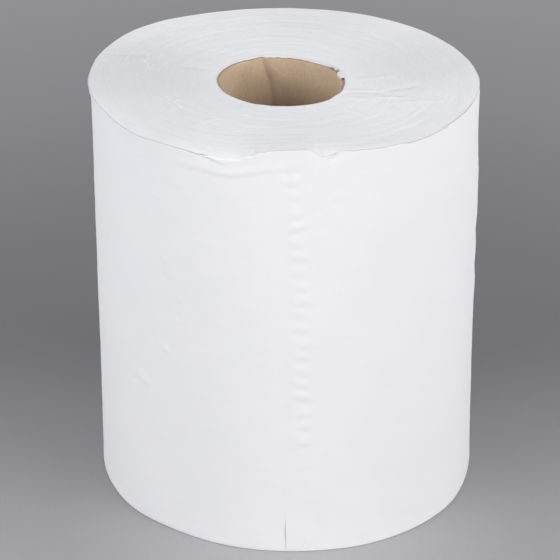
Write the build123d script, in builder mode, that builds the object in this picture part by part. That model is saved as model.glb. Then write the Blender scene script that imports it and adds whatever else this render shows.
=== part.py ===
from build123d import *
import os
from math import acos, atan, cos, degrees, radians, sin

os.makedirs("parts", exist_ok=True)

# A wide roll of paper towel, wound on a cardboard core and standing on one end.
# Millimetres and degrees. The roll's axis is +Z, it stands on z = 0, and its loose end shows
# at the front, on -Y. Angles are measured in plan from +X, so the front is at 270.

# The wound paper
roll_diameter = 200.0
roll_height = 223.5  # the towel's width
lap_thickness = 0.5  # step at the free edge of the last turn, which lies a little loose
front_angle = 270.0

# Rounding of the lower rim, which the roll's weight has pressed. The upper one is cut sharp
lower_rim_round = 2.2

# The cardboard core, and the crease where its wall was once crushed
core_bore = 63.5
core_wall = 1.4
core_recess = 1.1  # the core stops this far inside each end of the paper
crease_angle = 105.0
crease_width = 4.5
crease_depth = 0.8

# The gap between turns that shows on both ends, drawn as one spiral from core to rim
turn_pitch = 8.3
turn_gap_width = 0.9
turn_gap_depth = 0.8
inner_turn_margin = 3.5  # paper left between the core and the spiral's start
outer_turn_margin = 4.0  # and between the spiral's end and the rim

# The glue line that holds the last turn down: a column of puckers behind the free edge
pucker_length = 6.4
pucker_height = 4.0
pucker_rise = 0.8
pucker_root = 0.8  # depth of its foot below the wall
pucker_crest_width = 0.8
pucker_spacing = 8.0
glue_line_bottom = 32.0
glue_line_top_gap = 12.0  # from the highest pucker to the rim
glue_line_in_at_top = 4.4  # distance from the free edge, which grows towards the floor
glue_line_in_at_bottom = 9.6

# Two pleats under the rim, where the outer turns have slumped at the left of the front
pleat_section = 1.7
pleat_rise = 1.0
upper_pleat_angle = 245.0
upper_pleat_drop = 2.6
upper_pleat_slope = -11.0
upper_pleat_bend = 50.0
lower_pleat_angle = 256.0
lower_pleat_drop = 9.2
lower_pleat_slope = 4.0
lower_pleat_bend = 76.0

# The slumped stretch of the rim itself: a softer rounding that dies out to both sides
slump_angle = 250.0
slump_round = 6.0
slump_spread = 55.0

# The lower corner of the free edge, lifted so that a slit opens beside it
corner_height = 21.0
corner_width = 9.0
corner_lift = 1.3
corner_foot = 0.5  # height of the corner's lowest edge above the table
sheet = 0.35
slit_depth = 0.5
slit_ratio = 0.85  # of the lifted corner's width and height that the slit runs under it

# A small dent in the wall, low on the left
dent_angle = 218.0
dent_height = 78.0
dent_radius = 9.0
dent_depth = 0.8

# How a rim's cutting ring is drawn, in shares of the rounding
ring_overshoot_ratio = 0.15  # how far it reaches past the wall and the end
ring_crest_ratio = 0.27  # how far its arc's middle lies inside the old corner

# Sizes that follow
roll_radius = roll_diameter / 2
bore_radius = core_bore / 2
core_radius = bore_radius + core_wall


def around(radius, angle, height=0.0):
    # a point given by its distance from the axis, its direction and its height
    return Vector(radius * cos(radians(angle)), radius * sin(radians(angle)), height)


def creased_circle(radius, height):
    # a circle with the core's crease standing outward as a small ridge
    half_angle = degrees(crease_width / 2 / radius)
    with BuildSketch(Plane.XY.offset(height)) as outline:
        Circle(radius)
        with BuildLine():
            Polyline(
                around(radius, crease_angle - half_angle),
                around(radius + crease_depth, crease_angle),
                around(radius, crease_angle + half_angle),
                around(radius - crease_width, crease_angle),
                close=True,
            )
        make_face()
    return outline.sketch


def rim_ring(rounding, end_height, upward, angle=front_angle, spread=0.0):
    # a ring that cuts a soft edge where it meets the rim. With a spread its centre moves away
    # from the angle, so that it meets the rim there and leaves it to both sides
    ring_radius = roll_radius + spread
    centre = around(spread, angle + 180, end_height)
    past = rounding * ring_overshoot_ratio
    crest = rounding * ring_crest_ratio
    with BuildSketch(Plane(centre, x_dir=around(1, angle), z_dir=around(1, angle - 90))) as profile:
        with BuildLine():
            on_wall = (ring_radius + past, -upward * (rounding + past))
            on_end = (ring_radius - rounding - past, upward * past)
            ThreePointArc(on_wall, (ring_radius - crest, -upward * crest), on_end)
            Polyline(on_end, (ring_radius + past, upward * past), on_wall)
        make_face()
    revolve(profile.sketch, Axis(centre, (0, 0, 1)), mode=Mode.SUBTRACT)


def pleat(angle, drop, slope, bend):
    # part of a ring, bent more tightly than the wall, so that both its ends sink into it
    offset = roll_radius + pleat_rise - pleat_section - bend
    sunk = roll_radius - 1.5 * pleat_section
    reach = degrees(acos((sunk**2 - offset**2 - bend**2) / (2 * offset * bend)))
    outward = around(1, angle)
    upright = Vector(0, 0, 1).rotate(Axis((0, 0, 0), outward), slope)
    start = outward.rotate(Axis((0, 0, 0), upright), -reach)
    with Locations(Plane(around(offset, angle, roll_height - drop), x_dir=start, z_dir=upright)):
        Torus(bend, pleat_section, major_angle=2 * reach)


def glue_pucker(height):
    # a short ridge across the wall, hipped at both ends, with its foot below the surface
    glue_line_top = roll_height - glue_line_top_gap
    share = (glue_line_top - height) / (glue_line_top - glue_line_bottom)
    behind_edge = glue_line_in_at_top + share * (glue_line_in_at_bottom - glue_line_in_at_top)
    angle = front_angle + degrees(behind_edge / roll_radius)
    foot = around(roll_radius - pucker_root, angle, height)
    with BuildSketch(Plane(foot, x_dir=around(1, angle + 90), z_dir=around(1, angle))) as outline:
        Rectangle(pucker_length, pucker_height)
    tall = pucker_root + pucker_rise
    lean = degrees(atan((pucker_height - pucker_crest_width) / 2 / tall))
    extrude(outline.sketch, amount=tall, taper=lean)


def corner_wedge(outer, inner, mouth, width, height, mode):
    # a sliver between two radii at the free edge, widest near the floor, that dies out
    # sideways and upwards
    with BuildSketch(Plane.XY.offset(corner_foot)) as foot:
        with BuildLine():
            Polyline(
                (mouth, -outer),
                around(inner, front_angle + degrees(width / roll_radius)),
                (mouth, -inner),
                close=True,
            )
        make_face()
    loft([foot.sketch, Vertex(mouth, -inner, height)], mode=mode)


# The last turn as two half circles that close in by one lap, and the step between their ends
with BuildSketch() as wound_outline:
    with BuildLine():
        CenterArc((0, 0), roll_radius, front_angle, 180)
        CenterArc((0, lap_thickness / 2), roll_radius - lap_thickness / 2, front_angle - 180, 180)
        Line((0, lap_thickness - roll_radius), (0, -roll_radius))
    make_face()

# The gap between turns: two like spirals of half circles, clockwise from above, and their ends
spiral_start = core_radius + inner_turn_margin
spiral_room = roll_radius - outer_turn_margin - turn_gap_width - spiral_start
spiral_turns = int(spiral_room // turn_pitch)
spiral_end = spiral_start + spiral_turns * turn_pitch
with BuildSketch() as turn_gap:
    with BuildLine():
        for side in (0, turn_gap_width):
            for turn in range(spiral_turns):
                radius = spiral_start + side + turn * turn_pitch
                CenterArc((0, 0), radius, front_angle, -180)
                CenterArc((0, -turn_pitch / 2), radius + turn_pitch / 2, front_angle - 180, -180)
        Line((0, -spiral_start), (0, -spiral_start - turn_gap_width))
        Line((0, -spiral_end), (0, -spiral_end - turn_gap_width))
    make_face()

# All the turns of paper, as one solid with the core's outline through it
with BuildPart() as paper_roll:
    extrude(wound_outline.sketch, amount=roll_height)
    pleat(upper_pleat_angle, upper_pleat_drop, upper_pleat_slope, upper_pleat_bend)
    pleat(lower_pleat_angle, lower_pleat_drop, lower_pleat_slope, lower_pleat_bend)
    split(bisect_by=Plane.XY.offset(roll_height), keep=Keep.BOTTOM)
    rim_ring(lower_rim_round, 0, -1)
    rim_ring(slump_round, roll_height, 1, slump_angle, slump_spread)
    extrude(creased_circle(core_radius, 0), amount=roll_height, mode=Mode.SUBTRACT)

    pucker_run = roll_height - glue_line_top_gap - glue_line_bottom
    for number in range(int(pucker_run // pucker_spacing) + 1):
        glue_pucker(glue_line_bottom + number * pucker_spacing)

    upper_gap = turn_gap.sketch.moved(Location((0, 0, roll_height)))
    extrude(upper_gap, amount=-turn_gap_depth, mode=Mode.SUBTRACT)
    extrude(turn_gap.sketch, amount=turn_gap_depth, mode=Mode.SUBTRACT)

    lifted = roll_radius + corner_lift
    under_lap = roll_radius - lap_thickness
    corner_wedge(lifted, under_lap, 0, corner_width, corner_height, Mode.ADD)
    corner_wedge(
        lifted - sheet,
        under_lap - slit_depth,
        -slit_depth,
        corner_width * slit_ratio,
        corner_height * slit_ratio,
        Mode.SUBTRACT,
    )

    with Locations(around(roll_radius + dent_radius - dent_depth, dent_angle, dent_height)):
        Sphere(dent_radius, mode=Mode.SUBTRACT)

paper_roll.part.label = "paper_roll"
export_step(paper_roll.part, "parts/paper_roll.step")

# The core: a tube with the same creased outline inside and out
core_length = roll_height - 2 * core_recess
with BuildPart() as cardboard_core:
    extrude(creased_circle(core_radius, core_recess), amount=core_length)
    extrude(creased_circle(bore_radius, core_recess), amount=core_length, mode=Mode.SUBTRACT)

cardboard_core.part.label = "cardboard_core"
export_step(cardboard_core.part, "parts/cardboard_core.step")
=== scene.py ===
import bpy
import math
import numpy as np
from mathutils import Matrix, Vector


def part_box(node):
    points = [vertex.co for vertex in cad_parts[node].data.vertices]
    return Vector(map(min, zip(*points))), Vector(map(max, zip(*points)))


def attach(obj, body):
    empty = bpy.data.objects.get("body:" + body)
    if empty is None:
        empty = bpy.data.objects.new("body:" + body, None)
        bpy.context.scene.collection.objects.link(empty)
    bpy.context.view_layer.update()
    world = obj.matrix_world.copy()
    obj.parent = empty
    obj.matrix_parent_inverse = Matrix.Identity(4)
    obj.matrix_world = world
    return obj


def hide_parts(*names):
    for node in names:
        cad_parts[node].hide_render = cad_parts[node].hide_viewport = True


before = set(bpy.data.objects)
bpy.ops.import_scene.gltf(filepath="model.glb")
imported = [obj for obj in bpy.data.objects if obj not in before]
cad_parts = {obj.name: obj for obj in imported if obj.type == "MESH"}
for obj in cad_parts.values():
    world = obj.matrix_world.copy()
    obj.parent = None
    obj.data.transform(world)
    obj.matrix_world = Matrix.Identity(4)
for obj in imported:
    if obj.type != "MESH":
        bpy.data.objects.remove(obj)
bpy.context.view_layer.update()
paperLow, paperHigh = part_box("paper_roll")
coreLow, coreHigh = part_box("cardboard_core")

# Shapes are worked out in millimetres and go into the meshes in metres
mm = 0.001
rollHeight = paperHigh[2] / mm
coreTop = coreHigh[2] / mm
coreBottom = coreLow[2] / mm
print("frame: roll", round(rollHeight, 1), "mm high, core from", round(coreBottom, 1), "to", round(coreTop, 1))


# ---- small helpers for the shapes

def hump(distance, width):
    return np.exp(-(distance / width) ** 2)


def ease(share):
    share = np.clip(share, 0.0, 1.0)
    return share * share * (3 - 2 * share)


def angleGap(angle, centre):  # signed degrees from centre, the short way round
    return (angle - centre + 180) % 360 - 180


def smoothTable(at, table):  # smooth curve through (at, value) pairs, level beyond its ends
    knots = np.array(table, float)
    cell = np.clip(np.searchsorted(knots[:, 0], at, side="right") - 1, 0, len(knots) - 2)
    share = (at - knots[cell, 0]) / (knots[cell + 1, 0] - knots[cell, 0])
    return knots[cell, 1] + (knots[cell + 1, 1] - knots[cell, 1]) * ease(share)


def roundTable(angle, table):  # the same, closed round the roll, with angles for places
    knots = sorted(table)
    first, last = knots[0], knots[-1]
    wrapped = [(last[0] - 360, last[1]), *knots, (first[0] + 360, first[1])]
    return smoothTable(np.asarray(angle, float) % 360, wrapped)


def ripples(points, seed, length, count=14):  # soft unevenness, about -1 to 1
    chance = np.random.default_rng(seed)
    total = np.zeros(points.shape[:-1])
    for number in range(count):
        way = chance.normal(size=3)
        way = way / np.linalg.norm(way) * 2 * math.pi / (length * chance.uniform(0.6, 1.6))
        total += np.sin(points @ way + chance.uniform(0, 2 * math.pi))
    return total / math.sqrt(count)


def alongLine(angle, height, line):
    # strength of a drawn line at each angle, and the signed distance above it in millimetres
    at, up, strength = (np.array([p[n] for p in line], float) for n in range(3))
    slope = np.gradient(up, np.radians(at) * 100)
    tilt = np.cos(np.arctan(np.interp(angle, at, slope)))
    return np.interp(angle, at, strength, 0, 0), (height - np.interp(angle, at, up)) * tilt


def makeMesh(name, points, faces, materialOf=None, turnOf=None, smoothOver=35):
    mesh = bpy.data.meshes.new(name)
    mesh.from_pydata((points * mm).tolist(), [], faces)
    mesh.update()
    if materialOf is not None:
        mesh.polygons.foreach_set("material_index", materialOf)
    if turnOf is not None:
        turn = mesh.attributes.new("turn", "FLOAT_VECTOR", "POINT")
        turn.data.foreach_set("vector", turnOf.astype(np.float32).ravel())
    mesh.polygons.foreach_set("use_smooth", [True] * len(mesh.polygons))
    piece = bpy.data.objects.new(name, mesh)
    bpy.context.scene.collection.objects.link(piece)
    mesh.set_sharp_from_angle(angle=math.radians(smoothOver))
    return piece


def gridFaces(rows, columns):  # quads of a grid that closes on itself both ways
    faces = []
    for row in range(rows):
        here = row * columns
        there = ((row + 1) % rows) * columns
        for column in range(columns):
            after = (column + 1) % columns
            faces.append((here + column, here + after, there + after, there + column))
    return faces


# ---- the camera, fitted to both rims and the side edges of the roll

view = {"position": (0.0, -1.3172, 0.7782), "down": 27.018, "turn": -0.209, "roll": 0.5945, "lens": 178.23}


def addCamera():
    down, turn, roll = (math.radians(view[key]) for key in ("down", "turn", "roll"))
    forward = Vector((math.cos(down) * math.sin(turn), math.cos(down) * math.cos(turn), -math.sin(down)))
    level = forward.cross(Vector((0, 0, 1))).normalized()
    above = level.cross(forward)
    right = level * math.cos(roll) + above * math.sin(roll)
    up = above * math.cos(roll) - level * math.sin(roll)
    pose = Matrix((right, up, -forward)).transposed().to_4x4()
    pose.translation = Vector(view["position"])
    data = bpy.data.cameras.new("photoCamera")
    data.lens = view["lens"]
    data.sensor_width = 36
    data.clip_end = 50
    camera = bpy.data.objects.new("photoCamera", data)
    camera.matrix_world = pose
    bpy.context.scene.collection.objects.link(camera)
    bpy.context.scene.camera = camera


addCamera()
print("camera: set")


# ---- the roll of towel: wall, wound ends and the seat of the core as one closed skin

roll = {
    "radius": 100.0,
    "lean": (-3.64, -2.02),  # how far the soft roll leans at the top
    "lap": 0.07,  # step at the free edge of the last turn
    "sheet": 0.3,
    "edgeAngles": ((0, 270.1), (61, 270.3), (221, 272.2)),  # (height, angle) of the free edge
    "lowerRound": 0.9,
    "unevenness": 0.16, "fineUnevenness": 0.055,
    # the last turn's outline under the upper rim, and lower down: (angle, spread, out)
    "upperBulges": ((142, 24, 3.2), (226, 14, 0.6), (95, 14, -1.1), (345, 9, -0.4), (187, 10, 0.7),
                    (116, 13, -1.0), (152, 10, -0.4), (79, 10, -0.6), (44, 12, 0.6)),
    "upperReach": 7.0,
    "lowerBulges": ((232, 14, -0.7), (308, 20, 1.7), (270, 42, 1.3), (218, 13, 1.1), (329, 12, 0.9), (291, 7, 0.6)),
    # its outline down both sides: angle, spread, slant of the folds and (height, out) points
    "sides": (
        (184, 24, 0.0, ((0, 0.6), (10, 0.4), (45, 0.32), (75, 0.15), (95, 0.0), (112, -0.25), (130, -0.5),
                   (160, -0.65), (187, -0.9), (207, -0.95), (217, -1.0), (223.5, -0.1))),
        (356, 13, 0.4, ((0, 0.0), (10, -0.3), (30, -0.4), (55, -0.2), (90, -0.15), (102, 0.0), (112, 0.35), (121, 0.1),
                   (133, 0.5), (145, 0.1), (154, 0.85), (174, 0.8), (186, 0.45), (196, 0.1), (223.5, 0.3))),
    ),
    # rounding of the upper rim, sharp but where the outer turns fold over: (angle, rounding)
    "upperRound": ((180, 0.06), (246, 0.08), (252, 0.3), (257, 0.6), (262, 0.35), (266, 0.07), (300, 0.06)),
    # how far the outermost turns have slid up or down along the roll: (angle, rise)
    "slide": ((0, 0), (190, 0.2), (208, -0.1), (217, -0.9), (226, -1.4), (234, -1.0), (240, -1.2), (246, -1.9), (252, -2.1), (256.5, -1.7), (261, 1.0),
              (264, 3.2), (267, 4.2), (271, 4.7), (276.9, 4.9), (278.8, 3.4), (280.8, 0.7), (282.4, 1.1), (284.4, 2.0), (286.4, 3.1), (290, 2.3), (300, 1.2), (311, 0.75), (335, 0.7), (347, 0.3)),
    "slideReach": 7.0,
    "broadSlide": (276, 26, 4.2),  # the part of it that reaches far into the end: angle, spread, rise
    # width of the gap behind the outermost turns, seen on the end: (angle, width)
    "rimGap": ((20, 0.03), (90, 0.03), (165, 0.05), (200, 0.2), (222, 0.3), (232, 0.55), (246, 0.6), (250, 0.03), (259, 0.03), (264, 0.5),
               (270, 0.8), (276, 0.7), (278, 0.25), (286, 0.2), (289, 0.55), (300, 0.5), (320, 0.5), (338, 0.4), (352, 0.1)),
    "endRipple": 0.10,
}

pleats = (
    # folds in the outer turns: (angle, height over the rim, strength) points of each line, then
    # the ridge above the line, the valley under it and how wide they are
    {"line": ((243.6, -0.6, 0.0), (245.6, -1.3, 1.0), (249.3, -2.7, 1.0), (252.4, -4.5, 0.9), (254.6, -5.6, 0.0)), "ridge": 0.5, "valley": 0.38, "width": 0.75},
    {"line": ((218, -16.8, 0.0), (224, -13.4, 0.3), (230, -11.0, 0.3), (238, -9.3, 0.4), (244, -9.8, 0.7), (250, -10.5, 1.0), (254, -10.8, 1.0),
              (257, -10.4, 1.0), (260.8, -8.8, 0.8), (264, -7.0, 0.6), (268.7, -5.4, 0.5), (275, -4.8, 0.0)), "ridge": 0.33, "valley": 0.21, "width": 1.4},
)

glueLine = {
    "angles": ((37, 275.6), (61, 275.5), (90, 275.3), (119, 275.1), (147, 274.8), (180, 274.1), (194, 273.5), (213, 272.5)),
    "top": 211.0, "bottom": 36.0, "spacing": 8.0, "halfWidth": 3.3, "halfHeight": 2.5, "rise": 0.31, "sink": 0.28,
}

corner = {
    # the lifted lower corner of the free edge, and how far it stands off: (height, share)
    "width": 9.0, "lift": 0.6, "press": 0.2,
    "standsOff": ((0, 0.0), (1.5, 0.28), (6, 0.34), (10, 0.9), (13, 1.0), (16, 0.55), (20, 0.0)),
}

marks = (
    # dents (-) and bumps (+) of the wall: angle, height, half width, half height, rise, slant
    (284.4, 223.4, 2.4, 1.5, -0.5, 0.4),
    (223.6, 84.8, 3.6, 2.6, 0.85, -0.5),
    (220.0, 81.6, 3.2, 1.2, -0.5, 0.0),
    (233.2, 107.4, 2.6, 1.7, 0.45, -0.5),
    (233.1, 149.6, 1.6, 1.6, -0.4, 0.0),
    (238.0, 128.6, 1.6, 1.6, -0.4, 0.0),
    (248.0, 163.3, 2.4, 1.2, -0.15, 0.0),
    (251.2, 127.2, 1.4, 1.4, -0.15, 0.0),
    (243.3, 193.4, 3.4, 1.1, 0.15, 0.1),
    (230.1, 192.3, 2.2, 1.1, 0.2, 0.0),
    (240.8, 184.0, 3.2, 1.1, 0.12, 0.0),
    (331.2, 174.0, 6.0, 2.4, -0.3, 0.25),
    (326.0, 201.0, 7.0, 2.4, -0.15, 0.3),
    (322.5, 221.0, 1.8, 1.2, 0.2, 0.0),
    (233.6, 159.0, 2.2, 1.6, 0.35, 0.0),
    (238.6, 139.0, 1.8, 1.5, 0.30, 0.0),
    (286.0, 198.0, 8.0, 2.0, -0.15, 0.05),
    (287.5, 170.0, 10.0, 2.2, -0.13, 0.0),
    (286.1, 157.0, 3.5, 1.8, -0.15, 0.1),
    (284.5, 206.0, 2.4, 2.2, -0.18, 0.0),
    (273.8, 216.5, 2.4, 1.1, -0.35, 0.0),
    (270.8, 215.6, 2.2, 1.1, -0.35, 0.0),
)

endMarks = (
    # folds on the upper end: start and end as (angle, radius), rise, half width
    ((244.0, 86.5), (249.0, 96.5), 0.5, 1.0),
    ((38.0, 36.0), (66.0, 94.0), -0.35, 4.0),
)

opening = (
    # outline of the paper round the core at the upper end, as (angle, radius)
    (5, 31.0), (18, 30.9), (39, 30.2), (52, 29.4), (64, 29.4), (76, 30.2), (85, 31.1), (92, 31.0), (97, 31.8), (124, 33.7), (131, 34.4), (145, 34.7), (188, 34.8),
    (230, 35.6), (245, 35.8), (258, 35.1), (271, 34.8), (285, 34.8), (305, 34.7), (325, 33.4), (350, 31.4),
)

crush = {
    # the core's crease: its angle at some heights, how sharp it is and how far down it goes
    "angles": ((150, 96.0), (195, 100.8), (203, 102.0), (209, 104.0), (215, 107.2), (222.7, 111.5)),
    "radius": 34.6, "flank": 2.7, "flankWidth": 3.6, "roundFrom": 60.0, "roundAt": 190.0, "plainRadius": 33.15,
}


def openingRadius(angle, height):
    # the crushed outline, with its crease, that goes back to a plain circle towards the floor
    creaseAt = np.interp(height, [p[0] for p in crush["angles"]], [p[1] for p in crush["angles"]])
    past = angleGap(angle, creaseAt)
    base = roundTable(angle, opening)
    left = ease(1 - past / 13) * (past > 0)
    right = ease(1 + past / 16) * (past <= 0)
    rightLevel = crush["radius"] - crush["flank"] * (1 - np.exp(np.minimum(past, 0) / crush["flankWidth"]))
    crushed = base + left * (crush["radius"] - base) + right * (rightLevel - base)
    share = ease((height - crush["roundFrom"]) / (crush["roundAt"] - crush["roundFrom"]))
    return crush["plainRadius"] + (crushed - crush["plainRadius"]) * share


def leanOf(height):
    share = height / rollHeight
    return share * roll["lean"][0], share * roll["lean"][1]


def cornerLift(height):  # 0 to 1, how far the free edge's lower corner stands off
    return np.interp(height, [p[0] for p in corner["standsOff"]], [p[1] for p in corner["standsOff"]])


def wallRadius(angle, height):
    lower = sum(out * hump(angleGap(angle, at), spread) for at, spread, out in roll["lowerBulges"])
    upper = sum(out * hump(angleGap(angle, at), spread) for at, spread, out in roll["upperBulges"])
    share = np.clip(height / rollHeight, 0, 1)
    sides = 0
    for at, spread, slant, line in roll["sides"]:
        past = angleGap(angle, at)
        along = height - slant * np.radians(past) * roll["radius"]
        sides = sides + smoothTable(np.clip(along, 0, rollHeight), line) * hump(past, spread)
    return roll["radius"] + sides + lower * (1 - share) + upper * np.exp((height - rollHeight) / roll["upperReach"])


def wallRelief(angle, height, level):
    # rises and hollows of the outer turns; level is the height once the slid turns are in place
    relief = np.zeros_like(angle)
    for fold in pleats:
        strength, above = alongLine(angle, level - rollHeight, fold["line"])
        width = fold["width"]
        relief += strength * (fold["ridge"] * hump(above - width, 1.5 * width) - fold["valley"] * hump(above + 0.8 * width, width))
    chance = np.random.default_rng(7)
    count = int((glueLine["top"] - glueLine["bottom"]) / glueLine["spacing"]) + 1
    for number in range(count):
        at = glueLine["top"] - number * glueLine["spacing"] + chance.uniform(-1.4, 1.4)
        size = chance.uniform(0.55, 1.15) * (0.7 if number < 2 or number > count - 4 else 1.0)
        across = chance.uniform(0.8, 1.2) * glueLine["halfWidth"]
        centre = np.interp(at, [p[0] for p in glueLine["angles"]], [p[1] for p in glueLine["angles"]]) + chance.uniform(-0.35, 0.35)
        tilt = chance.uniform(-0.25, 0.25)
        beside = np.radians(angleGap(angle, centre)) * roll["radius"]
        above = height - at - beside * tilt
        side = hump(beside, across)
        relief += size * side * (glueLine["rise"] * hump(above, glueLine["halfHeight"]) - glueLine["sink"] * hump(above + 3.4, 1.5))
    for at, up, halfWidth, halfHeight, rise, slant in marks:
        beside = np.radians(angleGap(angle, at)) * roll["radius"]
        relief += rise * hump(beside, halfWidth) * hump(level - up - slant * beside, halfHeight)
    return relief


def endRelief(angle, radius):
    # slight rise and fall of the turns on the upper end, and its creases
    around = np.stack((np.cos(np.radians(angle)) * 60, np.sin(np.radians(angle)) * 60, radius * 6), axis=-1)
    relief = roll["endRipple"] * ripples(around, 21, 26)
    plan = np.stack((np.cos(np.radians(angle)) * radius, np.sin(np.radians(angle)) * radius, np.zeros_like(radius)), axis=-1)
    relief = relief + 0.25 * ripples(plan, 22, 60)
    x, y = plan[..., 0], plan[..., 1]
    for start, end, rise, width in endMarks:
        a = np.array([math.cos(math.radians(start[0])), math.sin(math.radians(start[0]))]) * start[1]
        b = np.array([math.cos(math.radians(end[0])), math.sin(math.radians(end[0]))]) * end[1]
        way = b - a
        share = np.clip(((x - a[0]) * way[0] + (y - a[1]) * way[1]) / (way @ way), 0, 1)
        off = np.hypot(x - a[0] - share * way[0], y - a[1] - share * way[1])
        relief = relief + rise * hump(off, width) * np.sin(math.pi * np.clip(share, 0.02, 0.98))
    return relief


def spacedAngles():
    # angles behind the free edge: close together at the front, where the folds are
    steps = []
    at = 0.0
    while at < 360:
        steps.append(at)
        at += 0.5 if at < 21 or at > 314 else 1.3
    return np.array(steps + [360.0])


def makeRoll():
    behind = spacedAngles()
    pocketSteps = np.array([0.25, 0.5, 0.75, 1.0, 0.75, 0.5, 0.25, 0.0])
    normal = len(behind)
    columns = normal + len(pocketSteps)
    even = np.concatenate((behind * (359.1 / 360), 359.1 + 0.1 * np.arange(1, len(pocketSteps) + 1)))
    edgeHeights = [p[0] for p in roll["edgeAngles"]]
    edgeAngles = [p[1] for p in roll["edgeAngles"]]

    def ringOnWall(height):
        # one ring of the outer skin: angle and distance from the axis of each column
        h = np.broadcast_to(height, (columns,)) if np.ndim(height) == 0 else height
        lift = cornerLift(h)
        pocket = 0.1 + (corner["width"] - 0.7) * lift
        along = np.concatenate((behind, 360 + np.degrees(pocketSteps * pocket[normal:] / roll["radius"])))
        angle = np.interp(h, edgeHeights, edgeAngles) + along
        offEdge = np.radians(along % 360) * roll["radius"]
        flap = corner["lift"] * lift * np.clip(1 - offEdge / corner["width"], 0, 1) ** 2
        out = wallRadius(angle, h) - roll["lap"] * np.clip(along / 360, 0, 1)
        out[:normal - 1] += flap[:normal - 1]
        lower = slice(normal - 1, normal + 4)
        upper = slice(normal + 4, columns)
        out[lower] -= corner["press"] * lift[lower] * (1 - np.concatenate(([0.0], pocketSteps[:4])))
        thickness = roll["lap"] - 0.02 + (roll["sheet"] - roll["lap"]) * lift[upper]
        out[upper] += roll["lap"] + flap[upper] - thickness
        return angle, out

    def slidAt(angle, radius, rim):
        # how far the turns at a radius have slid: a broad part, and the rest near the rim only
        at, spread, rise = roll["broadSlide"]
        broad = rise * hump(angleGap(angle, at), spread)
        return broad * np.clip((radius - 36) / 60, 0, 1) ** 1.3 + (roundTable(angle, roll["slide"]) - broad) * np.exp((radius - rim) / roll["slideReach"])

    rings = []  # (angle, radius, height, turn radius) of each ring, and what the ring belongs to
    kinds = []

    def addRing(angle, radius, height, kind, turn=None):
        height = np.broadcast_to(height, angle.shape).astype(float)
        rings.append((angle, radius, height, radius if turn is None else turn))
        kinds.append(kind)

    # lower end, from the core outward
    bottomAngle, bottomOut = ringOnWall(0.0)
    for share in np.linspace(0, 1, 9)[:-1]:
        mixed = np.interp(0, edgeHeights, edgeAngles) + even
        inner = openingRadius(mixed, 0.0) + 0.4
        addRing(mixed, inner + share * (roll["radius"] - roll["lowerRound"] - 1.5 - inner), 0.0, "end")
    # lower rim
    for step in np.linspace(0, 90, 6):
        bend = math.radians(step)
        height = roll["lowerRound"] * (1 - math.cos(bend))
        angle, out = ringOnWall(height)
        addRing(angle, out - roll["lowerRound"] * (1 - math.sin(bend)), height, "wall")
    # wall
    levels = np.concatenate((np.arange(3.3, 24, 1.1), np.arange(24.5, 196, 1.5)))
    for level in levels:
        angle, out = ringOnWall(level)
        addRing(angle, out, level, "wall")
    topAngle, _ = ringOnWall(rollHeight)
    rounding = roundTable(topAngle, roll["upperRound"])
    for share in (*np.linspace(0, 1, 27)[1:-1], 0.9955, 1.0):
        angle, out = ringOnWall(196 + share * (rollHeight - 196))
        level = 196 + share * (rollHeight + roundTable(angle, roll["slide"]) - rounding - 196)
        addRing(angle, out, level, "wall")
    # upper rim, almost sharp
    for step in np.linspace(0, 90, 5)[1:]:
        bend = math.radians(step)
        angle, out = ringOnWall(rollHeight)
        level = rollHeight + roundTable(angle, roll["slide"]) - rounding * (1 - math.sin(bend))
        addRing(angle, out - rounding * (1 - math.cos(bend)), level, "wall")
    rimAngle, rimOut = rings[-1][0], rings[-1][1]
    # the gap behind the outermost turns
    gap = roundTable(rimAngle, roll["rimGap"])
    for share, down in ((0.0, 0.0), (0.1, 1.8), (0.9, 1.8), (1.0, 0.0)):
        radius = rimOut - 0.05 - share * gap
        addRing(rimAngle, radius, rollHeight + slidAt(rimAngle, radius, rimOut) - down * gap, "gap")
    # upper end
    for share in (*np.linspace(0, 1, 53)[1:-1], 0.991, 1.0):
        blend = ease(share * 12)
        angle = rimAngle * (1 - blend) + (np.interp(rollHeight, edgeHeights, edgeAngles) + even) * blend
        inner = openingRadius(angle, rollHeight) + 0.35
        outer = rimOut - 0.15 - gap
        radius = outer + share * (inner - outer)
        addRing(angle, radius, rollHeight + slidAt(angle, radius, rimOut), "end")
    # seat of the core, downward
    seatAngle = np.interp(rollHeight, edgeHeights, edgeAngles) + even
    for down in (0.12, 0.5, 1.2, 3.0, 6.0, 12.0, 20.0, 32.0, 50.0, 80.0, 120.0, 160.0, 200.0, 215.0, rollHeight - 0.4):
        level = rollHeight - down
        addRing(seatAngle, openingRadius(seatAngle, level) + (0.1 if down < 0.2 else 0.0), level, "seat")

    angle, radius, height, turnRadius = (np.array([ring[n] for ring in rings]) for n in range(4))
    kinds = np.array(kinds)
    wall = kinds == "wall"
    level = height + 0.5 * np.maximum(0, 98.5 - radius)  # goes on rising past the rim
    frontal = ease((80 - np.abs(angleGap(angle, 262))) / 8)
    relief = wallRelief(angle % 360, height, level) * frontal
    plan = (radius * np.cos(np.radians(angle)), radius * np.sin(np.radians(angle)))
    relief = relief + roll["unevenness"] * ripples(np.stack((*plan, height * 0.6), -1), 3, 55)
    relief = relief + roll["fineUnevenness"] * ripples(np.stack((*plan, height * 1.8), -1), 5, 14)
    # relief stands out from the wall, and up from the bend at the rim
    bendUp = np.zeros_like(radius)
    bendUp[np.where(wall)[0][-4:]] = np.linspace(0, 90, 5)[1:, None]
    bendUp[~wall] = 90
    near = ease((radius - 78) / 12)
    amount = np.where(wall[:, None], relief, relief * near)
    amount[kinds == "seat"] = 0
    low = height < 1.0
    amount[low] = 0
    radius = radius + amount * np.cos(np.radians(bendUp))
    height = height + amount * np.sin(np.radians(bendUp))
    upper = ((kinds == "end") | (kinds == "gap"))[:, None] & (height > 100)
    height = height + np.where(upper, endRelief(angle, turnRadius) * ease((96.5 - turnRadius) / 7), 0)

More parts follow.
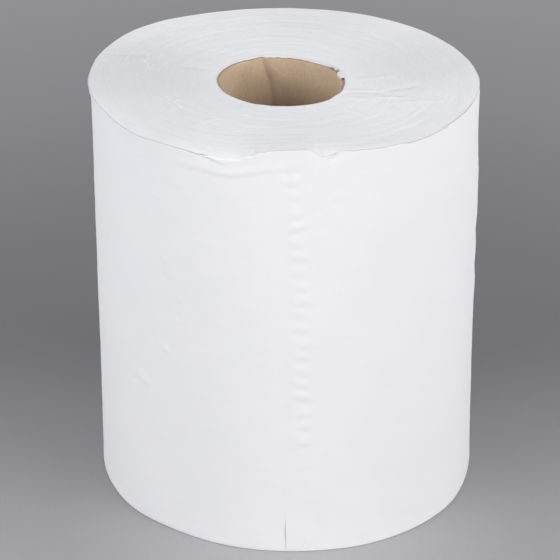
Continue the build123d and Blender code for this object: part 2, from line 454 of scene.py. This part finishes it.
    leanX, leanY = leanOf(height)
    x = radius * np.cos(np.radians(angle)) + leanX
    y = radius * np.sin(np.radians(angle)) + leanY
    points = np.stack((x, y, height), axis=-1).reshape(-1, 3)
    turn = np.stack((np.cos(np.radians(angle)), np.sin(np.radians(angle)), turnRadius * mm), axis=-1).reshape(-1, 3)
    faces = gridFaces(len(rings), columns)
    after = np.roll(kinds, -1)
    rowMaterial = np.where((kinds == "wall") & (after == "wall"), 0, 1)
    # the gap's first rows take the painted shade material
    rowMaterial[np.where(kinds == "gap")[0][:3]] = 2
    seatStart = np.where(kinds == "seat")[0][0]
    rowMaterial[seatStart - 2:seatStart + 1] = 3
    materialOf = np.repeat(rowMaterial, columns)
    piece = makeMesh("towelRoll", points, faces, materialOf, turn)
    print("towel roll:", len(rings), "rings of", columns, "points,", 2 * len(faces), "triangles")
    return piece


# ---- the cardboard core, with its crushed wall and cut edge

core = {"wall": 1.4, "clearance": 0.08, "columns": 300, "edgeFray": 0.12}


def makeCore():
    angle = np.linspace(0, 360, core["columns"], endpoint=False)
    rings = []
    fray = ripples(np.stack((np.cos(np.radians(angle)) * 33, np.sin(np.radians(angle)) * 33, angle * 0), -1), 31, 5) * core["edgeFray"]

    def addRing(inset, level):
        level = np.broadcast_to(level, angle.shape)
        radius = openingRadius(angle, level) - core["clearance"] - inset
        rings.append((radius, level))

    outside = (1.1, 6, 20, 50, 90, 130, 160, 180, 195, 205, 212, 218)
    for level in outside:
        addRing(0.0, max(level, coreBottom))
    for inset, down in ((0.0, 0.12), (0.15, 0.0), (0.5, 0.05), (0.9, 0.0), (1.25, 0.02), (core["wall"], 0.15)):
        addRing(inset, coreTop - down + (fray if down < 0.1 else 0))
    inside = np.concatenate((np.arange(coreTop - 1.0, 176, -1.1), np.arange(172, 8, -7.0), [4.0, coreBottom + 0.2]))
    for level in inside:
        addRing(core["wall"], level)
    addRing(core["wall"] - 0.15, coreBottom)
    radius = np.array([ring[0] for ring in rings])
    height = np.array([ring[1] for ring in rings])
    skin = np.stack((radius * np.cos(np.radians(angle)), radius * np.sin(np.radians(angle)), height), -1)
    insideRows = slice(len(outside) + 6, None)
    radius[insideRows] += 0.12 * ripples(skin[insideRows], 33, 22)
    leanX, leanY = leanOf(height)
    points = np.stack((radius * np.cos(np.radians(angle)) + leanX, radius * np.sin(np.radians(angle)) + leanY, height), axis=-1).reshape(-1, 3)
    turn = np.stack((np.broadcast_to(np.cos(np.radians(angle)), radius.shape), np.broadcast_to(np.sin(np.radians(angle)), radius.shape), radius * mm), axis=-1).reshape(-1, 3)
    faces = gridFaces(len(rings), core["columns"])
    edgeRows = np.zeros(len(rings), int)
    edgeRows[len(outside):len(outside) + 5] = 1
    edgeRows[-1] = 1
    piece = makeMesh("coreTube", points, faces, np.repeat(edgeRows, core["columns"]), turn)
    print("core tube:", len(rings), "rings,", 2 * len(faces), "triangles")
    return piece


# ---- torn bits where the core was cut: a flap of towel and frayed board

tear = {"from": 3.0, "to": 19.0, "columns": 40, "drop": 2.0, "inward": 0.5, "thickness": 0.3}


def makeTear():
    chance = np.random.default_rng(11)
    angle = np.linspace(tear["from"], tear["to"], tear["columns"])
    share = np.linspace(0, 1, tear["columns"])
    drop = tear["drop"] * np.sin(math.pi * share) ** 0.7 * (0.75 + 0.25 * np.sin(9 * share + 1)) + chance.uniform(-0.35, 0.35, tear["columns"])
    drop = np.clip(drop, 0.5, None)
    rows = []
    for down, side in [(d, 0) for d in (0.0, 0.15, 0.3, 0.5, 0.75, 1.0)] + [(d, 1) for d in (1.0, 0.75, 0.5, 0.3, 0.15, 0.0)]:
        # from the paper over the core's cut edge and a little way down into the bore
        over = ease(np.array(down / 0.35))
        inward = -0.9 + over * (1.2 + core["wall"]) + tear["inward"] * down + 0.25 * np.sin(share * 14 + down * 3) * down
        level = rollHeight + 0.3 - drop * max(0.0, down - 0.2) / 0.8
        rows.append((openingRadius(angle, level) - inward + side * tear["thickness"] * over, level - 0.12 * side))
    radius = np.array([r[0] for r in rows])
    height = np.array([r[1] for r in rows])
    leanX, leanY = leanOf(height)
    points = np.stack((radius * np.cos(np.radians(angle)) + leanX, radius * np.sin(np.radians(angle)) + leanY, height), -1).reshape(-1, 3)
    count = tear["columns"]
    faces = []
    for row in range(len(rows)):
        here, there = row * count, ((row + 1) % len(rows)) * count
        for column in range(count - 1):
            faces.append((here + column, here + column + 1, there + column + 1, there + column))
    faces.append([row * count for row in range(len(rows))])
    faces.append([row * count + count - 1 for row in range(len(rows))][::-1])
    return makeMesh("tornFlap", points, faces, None, np.stack((points[:, 0] / 33, points[:, 1] / 33, points[:, 2] * mm), -1))


def makeFray():
    # chips of board that stand up round the cut, at the far right
    chance = np.random.default_rng(12)
    points, faces = [], []
    for number in range(9):
        at = math.radians(chance.uniform(21, 35))
        out = float(openingRadius(np.array([math.degrees(at)]), np.array([coreTop]))[0]) - chance.uniform(0.5, 1.3)
        foot = np.array([out * math.cos(at), out * math.sin(at), coreTop - 0.4])
        foot[0] += leanOf(coreTop)[0]
        foot[1] += leanOf(coreTop)[1]
        side = np.array([-math.sin(at), math.cos(at), 0.0])
        inward = np.array([-math.cos(at), -math.sin(at), 0.0])
        width, tall, lean = chance.uniform(0.5, 1.2), chance.uniform(0.9, 2.1), chance.uniform(-0.3, 1.1)
        base = len(points)
        for level, narrow in ((0, 1.0), (0.55, 0.8), (1.0, 0.35)):
            middle = foot + np.array([0, 0, tall * level]) + inward * lean * level ** 2
            for across, through in ((-1, 0), (1, 0), (1, 0.25), (-1, 0.25)):
                points.append(middle + side * across * width * narrow / 2 - inward * through + side * chance.uniform(-0.1, 0.1))
        for level in range(2):
            for corner4 in range(4):
                after = (corner4 + 1) % 4
                low = base + 4 * level
                faces.append((low + corner4, low + 4 + corner4, low + 4 + after, low + after))
        faces.append((base, base + 1, base + 2, base + 3))
        faces.append((base + 11, base + 10, base + 9, base + 8))
    points = np.array(points)
    return makeMesh("boardFray", points, faces, None, np.stack((points[:, 0] / 33, points[:, 1] / 33, points[:, 2] * mm), -1))


# ---- materials

def link(tree, source, target):
    tree.links.new(source, target)


def node(tree, kind, **values):
    made = tree.nodes.new(kind)
    for key, value in values.items():
        setattr(made, key, value)
    return made


def startGroup(name, inputs, outputs):
    tree = bpy.data.node_groups.new(name, "ShaderNodeTree")
    for label, kind, value in inputs:
        socket = tree.interface.new_socket(name=label, in_out="INPUT", socket_type=kind)
        if value is not None:
            socket.default_value = value
    for label, kind in outputs:
        tree.interface.new_socket(name=label, in_out="OUTPUT", socket_type=kind)
    return tree, tree.nodes.new("NodeGroupInput"), tree.nodes.new("NodeGroupOutput")


def math2(tree, operation, first, second=None, third=None, clamp=False):
    made = node(tree, "ShaderNodeMath", operation=operation, use_clamp=clamp)
    for slot, value in enumerate((first, second, third)):
        if value is None:
            continue
        if isinstance(value, (int, float)):
            made.inputs[slot].default_value = value
        else:
            link(tree, value, made.inputs[slot])
    return made.outputs[0]


def noiseAt(tree, vector, scale, detail, roughness, kind="FBM"):
    made = node(tree, "ShaderNodeTexNoise", noise_dimensions="3D", noise_type=kind)
    link(tree, vector, made.inputs["Vector"])
    if isinstance(scale, (int, float)):
        made.inputs["Scale"].default_value = scale
    else:
        link(tree, scale, made.inputs["Scale"])
    made.inputs["Detail"].default_value = detail
    made.inputs["Roughness"].default_value = roughness
    return made.outputs["Fac"]


def spread(tree, value, low, high, toLow=0.0, toHigh=1.0):
    made = node(tree, "ShaderNodeMapRange", clamp=True)
    link(tree, value, made.inputs["Value"])
    for label, number in (("From Min", low), ("From Max", high), ("To Min", toLow), ("To Max", toHigh)):
        made.inputs[label].default_value = number
    return made.outputs["Result"]


def blendColour(tree, factor, first, second):
    made = node(tree, "ShaderNodeMix", data_type="RGBA")
    link(tree, factor, made.inputs["Factor"])
    for label, value in (("A", first), ("B", second)):
        socket = [s for s in made.inputs if s.name == label and s.type == "RGBA"][0]
        if isinstance(value, tuple):
            socket.default_value = (*value, 1)
        else:
            link(tree, value, socket)
    return [s for s in made.outputs if s.type == "RGBA"][0]


def makeFibreGroup():
    # matted fibres: long thin noise in two directions over fine grain
    tree, into, out = startGroup("pulpFibres", (("Position", "NodeSocketVector", None), ("Size", "NodeSocketFloat", 1.0)),
                                 (("Mask", "NodeSocketFloat"), ("Height", "NodeSocketFloat")))
    scaled = node(tree, "ShaderNodeVectorMath", operation="SCALE")
    link(tree, into.outputs["Position"], scaled.inputs[0])
    link(tree, math2(tree, "DIVIDE", 1.0, into.outputs["Size"]), scaled.inputs["Scale"])
    layers = []
    for stretch, turn in (((2600, 2600, 420), 0.5), ((900, 900, 2400), -0.7), ((3200, 3200, 3200), 0.0)):
        mapping = node(tree, "ShaderNodeMapping")
        mapping.inputs["Scale"].default_value = stretch
        mapping.inputs["Rotation"].default_value = (turn, turn * 0.6, 0)
        link(tree, scaled.outputs[0], mapping.inputs["Vector"])
        layers.append(noiseAt(tree, mapping.outputs[0], 1.0, 2.0, 0.55))
    total = math2(tree, "ADD", math2(tree, "ADD", layers[0], layers[1]), layers[2])
    mask = spread(tree, total, 1.1, 1.9)
    link(tree, mask, out.inputs["Mask"])
    link(tree, math2(tree, "SUBTRACT", mask, 0.5), out.inputs["Height"])
    return tree


def makeWindingGroup():
    # lines of single turns on a wound end: long along the turn, thin across it
    tree, into, out = startGroup("windingLines", (("Turn", "NodeSocketVector", None), ("Spacing", "NodeSocketFloat", 1.0), ("Arc", "NodeSocketFloat", 6.0)),
                                 (("Mask", "NodeSocketFloat"), ("Height", "NodeSocketFloat")))
    parts = node(tree, "ShaderNodeSeparateXYZ")
    link(tree, into.outputs["Turn"], parts.inputs[0])
    radial = math2(tree, "DIVIDE", math2(tree, "MULTIPLY", parts.outputs[2], 1000.0), into.outputs["Spacing"])
    joined = node(tree, "ShaderNodeCombineXYZ")
    link(tree, math2(tree, "MULTIPLY", parts.outputs[0], into.outputs["Arc"]), joined.inputs[0])
    link(tree, math2(tree, "MULTIPLY", parts.outputs[1], into.outputs["Arc"]), joined.inputs[1])
    link(tree, radial, joined.inputs[2])
    fac = noiseAt(tree, joined.outputs[0], 1.0, 3.0, 0.6)
    mask = spread(tree, fac, 0.32, 0.68)
    link(tree, mask, out.inputs["Mask"])
    link(tree, math2(tree, "SUBTRACT", mask, 0.5), out.inputs["Height"])
    return tree


def makePatchGroup():
    # a soft round patch on the surface, used for scuffed places, for painted shade on the upper end and for painted
    # light on the floor
    tree, into, out = startGroup("wearAndPaintedLightPatch", (("Position", "NodeSocketVector", None), ("Centre", "NodeSocketVector", None), ("Radius", "NodeSocketFloat", 0.02)),
                                 (("Mask", "NodeSocketFloat"),))
    distance = node(tree, "ShaderNodeVectorMath", operation="DISTANCE")
    link(tree, into.outputs["Position"], distance.inputs[0])
    link(tree, into.outputs["Centre"], distance.inputs[1])
    share = math2(tree, "DIVIDE", distance.outputs["Value"], into.outputs["Radius"])
    smooth = node(tree, "ShaderNodeMapRange", interpolation_type="SMOOTHSTEP", clamp=True)
    link(tree, share, smooth.inputs["Value"])
    for label, number in (("From Min", 0.2), ("From Max", 1.0), ("To Min", 1.0), ("To Max", 0.0)):
        smooth.inputs[label].default_value = number
    link(tree, smooth.outputs["Result"], out.inputs["Mask"])
    return tree


def makeCreaseGroup():
    # a soft line from Start along Way, fading towards both its ends
    tree, into, out = startGroup("creaseLine", (("Position", "NodeSocketVector", None), ("Start", "NodeSocketVector", None),
                                                ("Way", "NodeSocketVector", None), ("Width", "NodeSocketFloat", 0.001)), (("Mask", "NodeSocketFloat"),))

    def vectorMath(operation, first, second):
        made = node(tree, "ShaderNodeVectorMath", operation=operation)
        link(tree, first, made.inputs[0])
        link(tree, second, made.inputs["Scale" if operation == "SCALE" else 1])
        return made

    fromStart = vectorMath("SUBTRACT", into.outputs["Position"], into.outputs["Start"]).outputs["Vector"]
    length = vectorMath("DOT_PRODUCT", into.outputs["Way"], into.outputs["Way"]).outputs["Value"]
    share = math2(tree, "DIVIDE", vectorMath("DOT_PRODUCT", fromStart, into.outputs["Way"]).outputs["Value"], length, clamp=True)
    nearest = vectorMath("SCALE", into.outputs["Way"], share).outputs["Vector"]
    off = vectorMath("DISTANCE", fromStart, nearest).outputs["Value"]
    ratio = math2(tree, "DIVIDE", off, into.outputs["Width"])
    soft = math2(tree, "EXPONENT", math2(tree, "MULTIPLY", math2(tree, "MULTIPLY", ratio, ratio), -1.0))
    taper = math2(tree, "MULTIPLY", math2(tree, "MULTIPLY", share, math2(tree, "SUBTRACT", 1.0, share)), 4.0)
    link(tree, math2(tree, "MULTIPLY", soft, taper), out.inputs["Mask"])
    return tree


fibreGroup = makeFibreGroup()
creaseGroup = makeCreaseGroup()
windingGroup = makeWindingGroup()
patchGroup = makePatchGroup()


def useGroup(tree, group, **values):
    made = node(tree, "ShaderNodeGroup", node_tree=group)
    for label, value in values.items():
        if isinstance(value, (int, float, tuple)):
            made.inputs[label].default_value = value
        else:
            link(tree, value, made.inputs[label])
    return made


def startMaterial(name, roughness, specular):
    material = bpy.data.materials.new(name)
    material.use_nodes = True
    tree = material.node_tree
    shader = tree.nodes["Principled BSDF"]
    shader.inputs["Roughness"].default_value = roughness
    shader.inputs["Specular IOR Level"].default_value = specular
    position = node(tree, "ShaderNodeTexCoord").outputs["Object"]
    return material, tree, shader, position


def bumpInto(tree, shader, height, distance, strength=1.0):
    made = node(tree, "ShaderNodeBump")
    made.inputs["Distance"].default_value = distance
    made.inputs["Strength"].default_value = strength
    link(tree, height, made.inputs["Height"])
    link(tree, made.outputs["Normal"], shader.inputs["Normal"])


towelWall = {"colour": (0.835, 0.832, 0.856), "shade": (0.805, 0.805, 0.832), "fibreSize": 1.0, "crepe": 0.00003}
woundEnd = {
    # the greyer colour at the end of the next line is painted shade for broad places of the end
    "colour": (0.806, 0.806, 0.827), "gap": (0.775, 0.777, 0.803), "worn": (0.885, 0.885, 0.90), "pressed": (0.66, 0.665, 0.69),
    "relief": 0.00010, "creaseRelief": 0.0005,
}
# painted shade: the gap behind the outermost turns is made darker
rimGap = {"dark": (0.58, 0.58, 0.60), "light": (0.70, 0.70, 0.72)}
torn = {"dark": (0.74, 0.735, 0.76), "light": (0.86, 0.855, 0.88)}
board = {
    "colour": (0.635, 0.485, 0.35), "dark": (0.495, 0.37, 0.262), "pale": (0.69, 0.56, 0.44),
    "cut": (0.43, 0.35, 0.285), "cutDark": (0.30, 0.24, 0.195), "relief": 0.00010,
    "paintedDepthShade": (0.33, 0.25, 0.18), "paintedDepthShadeFrom": 11.0, "paintedDepthShadeTo": 30.0, "paintedDepthShadeBy": 0.66,  # painted shade, darker further in, depths in mm
    "lessPaintedShadeSide": (-19.0, -3.0),  # less painted shade left of the crease, from x to x in mm
}

# places on the upper end, in millimetres from the roll's axis
scuffed = ((-69.0, 20.0, 17.0), (-55.0, -34.0, 16.0), (-30.0, -62.0, 20.0), (50.0, -44.0, 20.0), (78.0, -22.0, 12.0), (-20.0, 70.0, 26.0))  # x, y, radius
# broad places of painted shade on the upper end
pressed = ((-78.0, 8.0, 62.0, 0.75), (72.0, 26.0, 52.0, 0.55), (20.0, 84.0, 40.0, 0.25), (-40.0, -26.0, 34.0, 0.3), (-62.0, -52.0, 34.0, 0.28))  # x, y, radius, strength
creases = (
    # start, end, half width, height
    ((-52.0, 22.0), (-32.0, 16.0), 2.2, -1.0),
    ((-90.0, 36.4), (-62.0, 33.6), 2.4, -0.7),
    ((-33.0, 20.0), (-47.0, 36.0), 4.0, 1.0),
    ((28.0, -9.0), (60.0, -10.6), 1.7, 0.65),
    ((34.0, -13.6), (62.0, -12.8), 1.4, -0.8),
    ((50.0, -13.6), (78.0, 1.0), 1.8, -1.0),
    ((47.0, -18.3), (70.0, -17.4), 1.6, 1.0),
    ((35.0, -17.4), (53.0, -22.8), 1.6, 0.8),
    ((39.0, 3.8), (64.0, 12.4), 1.7, 0.8),
    ((54.0, -26.0), (92.0, -18.0), 2.0, 0.6),
    ((34.0, -30.0), (58.0, -56.0), 1.3, 0.4),
    ((-26.0, -44.0), (-44.0, -60.0), 1.3, 0.4),
)


def towelWallMaterial():
    material, tree, shader, position = startMaterial("towelWall", 0.92, 0.18)
    fibres = useGroup(tree, fibreGroup, Position=position, Size=towelWall["fibreSize"])
    crepeMap = node(tree, "ShaderNodeMapping")  # creping runs up the roll, across the towel's length
    crepeMap.inputs["Scale"].default_value = (1300, 1300, 260)
    link(tree, position, crepeMap.inputs["Vector"])
    crepe = noiseAt(tree, crepeMap.outputs[0], 1.0, 3.0, 0.6)
    clouds = noiseAt(tree, position, 22.0, 4.0, 0.55)
    tone = math2(tree, "ADD", math2(tree, "MULTIPLY", fibres.outputs["Mask"], 0.35), math2(tree, "MULTIPLY", spread(tree, clouds, 0.35, 0.65), 0.45))
    tone = math2(tree, "ADD", tone, math2(tree, "MULTIPLY", crepe, 0.3), clamp=True)
    link(tree, blendColour(tree, tone, towelWall["shade"], towelWall["colour"]), shader.inputs["Base Color"])
    link(tree, spread(tree, fibres.outputs["Mask"], 0, 1, 0.88, 0.97), shader.inputs["Roughness"])
    height = math2(tree, "ADD", fibres.outputs["Height"], math2(tree, "MULTIPLY", crepe, 1.2))
    bumpInto(tree, shader, height, towelWall["crepe"])
    return material


def woundEndMaterial():
    material, tree, shader, position = startMaterial("towelWoundEnd", 0.94, 0.15)
    turn = node(tree, "ShaderNodeAttribute", attribute_name="turn").outputs["Vector"]
    fine = useGroup(tree, windingGroup, Turn=turn, Spacing=0.32, Arc=9.0)
    coarse = useGroup(tree, windingGroup, Turn=turn, Spacing=1.9, Arc=3.0)
    bands = useGroup(tree, windingGroup, Turn=turn, Spacing=9.0, Arc=1.2)
    fibres = useGroup(tree, fibreGroup, Position=position, Size=0.8)

    def patchAt(x, y, radius):
        place = ((x + leanOf(rollHeight)[0]) * mm, (y + leanOf(rollHeight)[1]) * mm, rollHeight * mm)
        return useGroup(tree, patchGroup, Position=position, Centre=place, Radius=radius * mm).outputs["Mask"]

    # feathery strokes along the turns in the scuffed places, and a few short ones anywhere
    scuffs = None
    for x, y, radius in scuffed:
        patch = patchAt(x, y, radius)
        scuffs = patch if scuffs is None else math2(tree, "MAXIMUM", scuffs, patch)
    strokes = useGroup(tree, windingGroup, Turn=turn, Spacing=0.75, Arc=9.0)
    stroke = spread(tree, strokes.outputs["Mask"], 0.66, 0.9)
    sparse = useGroup(tree, windingGroup, Turn=turn, Spacing=0.8, Arc=8.0)
    arc = spread(tree, sparse.outputs["Mask"], 0.88, 1.0)
    worn = math2(tree, "MAXIMUM", math2(tree, "MULTIPLY", stroke, scuffs), math2(tree, "MULTIPLY", arc, 0.8), clamp=True)
    shade = math2(tree, "ADD", math2(tree, "MULTIPLY", fine.outputs["Mask"], 0.5), math2(tree, "MULTIPLY", coarse.outputs["Mask"], 0.25))
    shade = math2(tree, "ADD", shade, math2(tree, "MULTIPLY", bands.outputs["Mask"], 0.25))
    base = blendColour(tree, spread(tree, shade, 0.0, 0.62), woundEnd["gap"], woundEnd["colour"])
    # painted shade: broad places where the end is made greyer
    for x, y, radius, strength in pressed:
        base = blendColour(tree, math2(tree, "MULTIPLY", patchAt(x, y, radius), strength), base, woundEnd["pressed"])
    link(tree, blendColour(tree, math2(tree, "MULTIPLY", worn, 0.8), base, woundEnd["worn"]), shader.inputs["Base Color"])
    link(tree, spread(tree, fibres.outputs["Mask"], 0, 1, 0.9, 0.98), shader.inputs["Roughness"])
    # radial creases, a little wavy
    wave = node(tree, "ShaderNodeTexNoise", noise_dimensions="3D")
    wave.inputs["Scale"].default_value = 110
    link(tree, position, wave.inputs["Vector"])
    shift = node(tree, "ShaderNodeVectorMath", operation="MULTIPLY_ADD")
    link(tree, wave.outputs["Color"], shift.inputs[0])
    shift.inputs[1].default_value = (0.005, 0.005, 0.0)
    link(tree, position, shift.inputs[2])
    folded = None
    for start, end, width, rise in creases:
        begin = [(start[n] + leanOf(rollHeight)[n] - 2.5) * mm for n in (0, 1)] + [rollHeight * mm]
        way = [(end[n] - start[n]) * mm for n in (0, 1)] + [0.0]
        line = useGroup(tree, creaseGroup, Position=shift.outputs[0], Start=tuple(begin), Way=tuple(way), Width=width * mm)
        part = math2(tree, "MULTIPLY", line.outputs["Mask"], rise)
        folded = part if folded is None else math2(tree, "ADD", folded, part)
    height = math2(tree, "ADD", fine.outputs["Height"], math2(tree, "MULTIPLY", coarse.outputs["Height"], 0.8))
    height = math2(tree, "ADD", height, math2(tree, "MULTIPLY", worn, 0.6))
    height = math2(tree, "ADD", height, math2(tree, "MULTIPLY", fibres.outputs["Height"], 0.4))
    height = math2(tree, "ADD", height, math2(tree, "MULTIPLY", folded, woundEnd["creaseRelief"] / woundEnd["relief"]))
    bumpInto(tree, shader, height, woundEnd["relief"])
    return material


def boardMaterial(name, cut):
    material, tree, shader, position = startMaterial(name, 0.85, 0.22)
    fibres = useGroup(tree, fibreGroup, Position=position, Size=1.6)
    clouds = spread(tree, noiseAt(tree, position, 60.0, 5.0, 0.6), 0.3, 0.7)
    flecks = spread(tree, noiseAt(tree, position, 900.0, 2.0, 0.6), 0.66, 0.74)
    tone = math2(tree, "ADD", math2(tree, "MULTIPLY", fibres.outputs["Mask"], 0.55), math2(tree, "MULTIPLY", clouds, 0.45))
    darker, lighter = (board["cutDark"], board["cut"]) if cut else (board["dark"], board["colour"])
    base = blendColour(tree, spread(tree, tone, 0.1, 0.75), darker, lighter)
    if not cut:
        # painted shade: the inside of the core is made darker with depth below the top, less so left of the crease
        parts = node(tree, "ShaderNodeSeparateXYZ")
        link(tree, position, parts.inputs[0])
        depth = math2(tree, "SUBTRACT", rollHeight * mm, parts.outputs["Z"])
        depthShadeMask = spread(tree, depth, board["paintedDepthShadeFrom"] * mm, board["paintedDepthShadeTo"] * mm, 0.0, board["paintedDepthShadeBy"])
        lessShadeX, fullShadeX = board["lessPaintedShadeSide"]
        depthShadeMask = math2(tree, "MULTIPLY", depthShadeMask, spread(tree, parts.outputs["X"], lessShadeX * mm, fullShadeX * mm, 0.1, 1.0))
        base = blendColour(tree, depthShadeMask, base, board["paintedDepthShade"])
    link(tree, blendColour(tree, math2(tree, "MULTIPLY", flecks, 0.2 if cut else 0.5), base, board["pale"]), shader.inputs["Base Color"])
    link(tree, spread(tree, fibres.outputs["Mask"], 0, 1, 0.78, 0.95), shader.inputs["Roughness"])
    if cut:  # the plies of the board show as thin rings
        turn = node(tree, "ShaderNodeAttribute", attribute_name="turn").outputs["Vector"]
        plies = useGroup(tree, windingGroup, Turn=turn, Spacing=0.4, Arc=5.0)
        height = math2(tree, "ADD", fibres.outputs["Height"], plies.outputs["Height"])
    else:
        height = fibres.outputs["Height"]
    bumpInto(tree, shader, height, board["relief"])
    return material


def tornMaterial():
    material, tree, shader, position = startMaterial("tornTowel", 0.95, 0.12)
    fibres = useGroup(tree, fibreGroup, Position=position, Size=0.7)
    link(tree, blendColour(tree, fibres.outputs["Mask"], torn["dark"], torn["light"]), shader.inputs["Base Color"])
    link(tree, spread(tree, fibres.outputs["Mask"], 0, 1, 0.9, 0.98), shader.inputs["Roughness"])
    bumpInto(tree, shader, fibres.outputs["Height"], 0.0002)
    return material


def rimGapShadeMaterial():  # painted shade: darker paper for the gap behind the outermost turns
    material, tree, shader, position = startMaterial("towelRimGapPaintedShade", 0.95, 0.1)
    fibres = useGroup(tree, fibreGroup, Position=position, Size=0.7)
    link(tree, blendColour(tree, fibres.outputs["Mask"], rimGap["dark"], rimGap["light"]), shader.inputs["Base Color"])
    link(tree, spread(tree, fibres.outputs["Mask"], 0, 1, 0.9, 0.98), shader.inputs["Roughness"])
    bumpInto(tree, shader, fibres.outputs["Height"], 0.0001)
    return material


towelRoll = makeRoll()
tornPaper = tornMaterial()
for made in (towelWallMaterial(), woundEndMaterial(), rimGapShadeMaterial(), tornPaper):
    towelRoll.data.materials.append(made)
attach(towelRoll, "root")
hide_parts("paper_roll")

coreTube = makeCore()
for made in (boardMaterial("coreBoard", False), boardMaterial("coreCutEdge", True)):
    coreTube.data.materials.append(made)
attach(coreTube, "root")
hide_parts("cardboard_core")

tornFlap = makeTear()
tornFlap.data.materials.append(tornPaper)
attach(tornFlap, "root")

boardFray = makeFray()
boardFray.data.materials.append(coreTube.data.materials[1])
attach(boardFray, "root")
print("pieces: roll, core, torn flap and frayed board")


# ---- floor and light

studio = {
    "floorRadius": 7.0,
    # painted shadow on the floor: darker round a point behind the roll, and paler sooner towards the front
    "paintedShadowCentre": 0.16, "paintedShadowForward": 3.0,
    "paintedShadowTones": (
        (0.0, 0.195), (0.16, 0.198), (0.25, 0.225), (0.35, 0.262), (0.53, 0.315), (0.7, 0.36), (0.9, 0.41), (1.3, 0.425), (2.0, 0.435),
    ),
    "paintedLightPlace": (0.004, -0.062, 0.0), "paintedLightRadius": 0.135, "paintedLightBy": 1.36,  # painted light: a paler patch on the floor before the roll
    "lampAim": (0.0, 0.0, 0.8), "lampSpread": 90,
    "air": (0.985, 0.99, 1.0), "airLevel": 0.90, "airOverhead": 0.67,  # its strength at the horizon and overhead
}

lamps = (
    # name, place, size, power, colour; each looks at the lamp aim over the roll's axis
    ("keyRight", (1.5, -1.1, 1.05), 1.5, 6.9, (1.0, 0.99, 0.985)),
    ("fillLeft", (-1.45, -1.2, 1.0), 1.5, 5.75, (0.975, 0.99, 1.0)),
)


def addFloor():
    corners = [(studio["floorRadius"] * math.cos(a), studio["floorRadius"] * math.sin(a), 0.0) for a in np.linspace(0, 2 * math.pi, 97)[:-1]]
    mesh = bpy.data.meshes.new("studioFloor")
    mesh.from_pydata(corners, [], [list(range(96))])
    floor = bpy.data.objects.new("studioFloor", mesh)
    bpy.context.scene.collection.objects.link(floor)
    material, tree, shader, position = startMaterial("studioFloor", 0.7, 0.2)
    grainAndPaintedLight = spread(tree, noiseAt(tree, position, 1300.0, 2.0, 0.8), 0.3, 0.7, 0.84, 1.0)
    # painted light: the floor is made paler in a patch just before the roll
    patch = useGroup(tree, patchGroup, Position=position, Centre=studio["paintedLightPlace"], Radius=studio["paintedLightRadius"])
    grainAndPaintedLight = math2(tree, "MULTIPLY", grainAndPaintedLight, spread(tree, patch.outputs["Mask"], 0, 1, 1.0, studio["paintedLightBy"]))
    # painted shadow: the floor is made darker round a point behind the roll
    parts = node(tree, "ShaderNodeSeparateXYZ")
    link(tree, position, parts.inputs[0])
    middle, forward = studio["paintedShadowCentre"], studio["paintedShadowForward"]
    behind = math2(tree, "SUBTRACT", parts.outputs["Y"], middle)
    before = math2(tree, "MULTIPLY", math2(tree, "SUBTRACT", middle, parts.outputs["Y"]), forward)
    away = node(tree, "ShaderNodeCombineXYZ")
    link(tree, parts.outputs["X"], away.inputs[0])
    link(tree, math2(tree, "MAXIMUM", behind, before), away.inputs[1])
    distance = node(tree, "ShaderNodeVectorMath", operation="LENGTH")
    link(tree, away.outputs[0], distance.inputs[0])
    ramp = node(tree, "ShaderNodeValToRGB")
    ramp.color_ramp.interpolation = "B_SPLINE"
    farthest = studio["paintedShadowTones"][-1][0]
    stops = ramp.color_ramp.elements
    while len(stops) < len(studio["paintedShadowTones"]):
        stops.new(0.5)
    for stop, (at, grey) in zip(stops, studio["paintedShadowTones"]):
        stop.position = at / farthest
        stop.color = (grey, grey * 0.99, grey * 1.02, 1)
    link(tree, spread(tree, distance.outputs["Value"], 0, farthest), ramp.inputs["Fac"])
    shaded = node(tree, "ShaderNodeVectorMath", operation="SCALE")
    link(tree, ramp.outputs["Color"], shaded.inputs[0])
    link(tree, grainAndPaintedLight, shaded.inputs["Scale"])
    link(tree, shaded.outputs[0], shader.inputs["Base Color"])
    mesh.materials.append(material)


def addLight():
    for name, place, size, power, colour in lamps:
        data = bpy.data.lights.new(name, "AREA")
        data.shape = "DISK"
        data.size = size
        data.energy = power
        data.color = colour
        data.spread = math.radians(studio["lampSpread"])
        lamp = bpy.data.objects.new(name, data)
        lamp.location = place
        lamp.rotation_euler = (Vector(studio["lampAim"]) - Vector(place)).to_track_quat("-Z", "Y").to_euler()
        bpy.context.scene.collection.objects.link(lamp)
    world = bpy.data.worlds.new("studioAir")
    world.use_nodes = True
    background = world.node_tree.nodes["Background"]
    background.inputs["Color"].default_value = (*studio["air"], 1)
    sky = world.node_tree
    parts = node(sky, "ShaderNodeSeparateXYZ")
    link(sky, node(sky, "ShaderNodeTexCoord").outputs["Generated"], parts.inputs[0])
    link(sky, spread(sky, parts.outputs["Z"], 0.0, 1.0, studio["airLevel"], studio["airOverhead"]), background.inputs["Strength"])
    bpy.context.scene.world = world


addFloor()
addLight()
bpy.context.scene.view_settings.view_transform = "Standard"
print("studio: floor, two lamps and air light")
